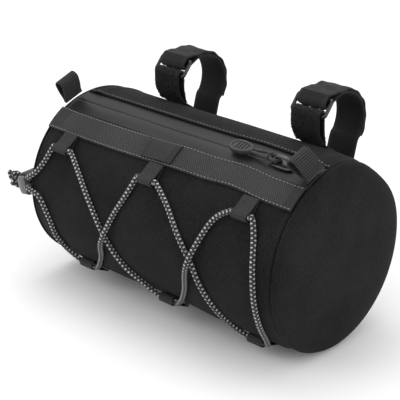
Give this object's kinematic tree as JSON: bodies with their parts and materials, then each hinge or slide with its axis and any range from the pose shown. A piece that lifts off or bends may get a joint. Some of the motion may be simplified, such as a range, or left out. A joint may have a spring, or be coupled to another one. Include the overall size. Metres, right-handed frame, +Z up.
{
  "type": "handlebar bag",
  "caption": "Cylindrical handlebar bag with a top zip, laced shock cord with a cord lock, webbing front band, end tabs and two hook-and-loop straps with rings.",
  "frame": {"origin": "centre of the handlebar that the straps go round, midway along the bag", "axes": "+X along the bag and the handlebar, towards the end where the closed zip slider is; -Y is the front of the bag; +Z up"},
  "size_m": [0.2482, 0.137, 0.1466],
  "materials": {
    "shell_fabric": "woven polyester, matt",
    "foam": "closed-cell foam",
    "lining": "plain lining cloth",
    "stiffener": "matt sheet",
    "zip_tape": "laminated, satin",
    "zip_chain": "nylon coil",
    "black_metal": "black enamel, satin",
    "webbing": "ribbed webbing",
    "pull_cord": "braided cord",
    "rubber": "moulded, matt",
    "shock_cord": "braided, with bright reflective flecks",
    "lock_plastic": "satin",
    "spring_steel": "bright",
    "hook_and_loop": "loop pile"
  },
  "bodies": {
    "root": {"main_panel": "shell_fabric", "foam_liner": "foam", "lining_tube": "lining", "left_end_panel": "shell_fabric", "right_end_panel": "shell_fabric", "left_end_board": "stiffener", "right_end_board": "stiffener", "left_end_lining": "lining", "right_end_lining": "lining", "left_seam_binding": "lining", "right_seam_binding": "lining", "zip_tape_upper": "zip_tape", "zip_tape_lower": "zip_tape", "zip_chain_upper": "zip_chain", "zip_chain_lower": "zip_chain", "zip_stop_left": "black_metal", "zip_stop_right": "black_metal", "webbing_band": "webbing", "label_patch": "rubber", "upper_cord_loop_1": "webbing", "upper_cord_loop_2": "webbing", "upper_cord_loop_3": "webbing", "lower_cord_loop_1": "webbing", "lower_cord_loop_2": "webbing", "lower_cord_loop_3": "webbing", "shock_cord": "shock_cord", "cord_knot": "shock_cord", "left_strap_band": "hook_and_loop", "left_strap_keeper": "hook_and_loop", "left_strap_ring": "black_metal", "right_strap_band": "hook_and_loop", "right_strap_keeper": "hook_and_loop", "right_strap_ring": "black_metal"},
    "zip_slider": {"zip_slider": "black_metal"},
    "zip_puller": {"pull_cord": "pull_cord", "pull_grip": "rubber"},
    "cord_lock": {"cord_lock_body": "lock_plastic", "cord_lock_spring": "spring_steel"},
    "lock_button": {"cord_lock_button": "lock_plastic"},
    "left_tab": {"left_end_tab": "webbing"},
    "right_tab": {"right_end_tab": "webbing"},
    "left_tail": {"left_strap_tail": "hook_and_loop"},
    "right_tail": {"right_strap_tail": "hook_and_loop"}
  },
  "joints": [
    {"name": "zip_slide", "type": "slide", "parent": "root", "child": "zip_slider", "axis": [-1, 0, 0], "range_m": [0, 0.132]},
    {"name": "puller_swing", "type": "hinge", "parent": "zip_slider", "child": "zip_puller", "pos_m": [0.07542, -0.06562, -0.0027], "axis": [0, 0.95, 0.3123], "range_deg": [0, 95]},
    {"name": "lock_slide", "type": "slide", "parent": "root", "child": "cord_lock", "axis": [-0.975, 0, -0.222], "range_m": [0, 0.006]},
    {"name": "lock_button_press", "type": "slide", "parent": "cord_lock", "child": "lock_button", "axis": [-0.0123, 0.9985, 0.054], "range_m": [0, 0.002], "stiffness_N_per_m": 400, "springref_m": -0.003, "deforming": ["cord_lock_spring"]},
    {"name": "left_tab_fold", "type": "hinge", "parent": "root", "child": "left_tab", "pos_m": [-0.1035, -0.06699, -0.00476], "axis": [0, -0.9397, -0.342], "range_deg": [0, 45]},
    {"name": "right_tab_fold", "type": "hinge", "parent": "root", "child": "right_tab", "pos_m": [0.1035, -0.06699, -0.00476], "axis": [0, 0.9397, 0.342], "range_deg": [0, 80]},
    {"name": "left_tail_peel", "type": "hinge", "parent": "root", "child": "left_tail", "pos_m": [-0.05803, -0.01564, 0.02286], "axis": [1, 0, 0], "range_deg": [0, 110]},
    {"name": "right_tail_peel", "type": "hinge", "parent": "root", "child": "right_tail", "pos_m": [0.06001, -0.01564, 0.02286], "axis": [1, 0, 0], "range_deg": [0, 110]}
  ]
}
